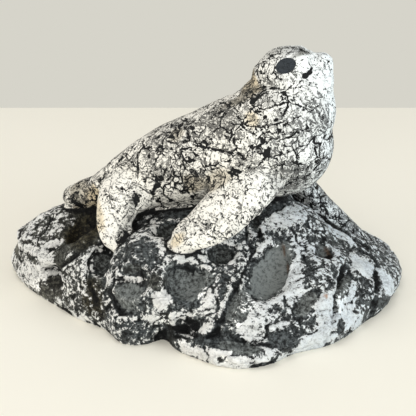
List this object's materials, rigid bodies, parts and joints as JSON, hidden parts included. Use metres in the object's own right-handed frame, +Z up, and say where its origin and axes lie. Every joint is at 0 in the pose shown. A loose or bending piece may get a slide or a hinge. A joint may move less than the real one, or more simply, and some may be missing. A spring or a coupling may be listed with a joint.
{
  "type": "seal figurine",
  "caption": "Figurine of a seal resting on a rock, head raised, cast as one piece with a flat underside.",
  "frame": {"origin": "centre of the bounding box at the flat underside", "axes": "+X from the tail towards the muzzle, +Y away from the side seen in the picture, +Z up"},
  "size_m": [0.23, 0.157, 0.1325],
  "materials": {
    "painted_clay": "matt paint: a crackled white seal on a dark grey rock brushed with white"
  },
  "bodies": {
    "root": {"seal_on_rock": "painted_clay"}
  },
  "joints": []
}
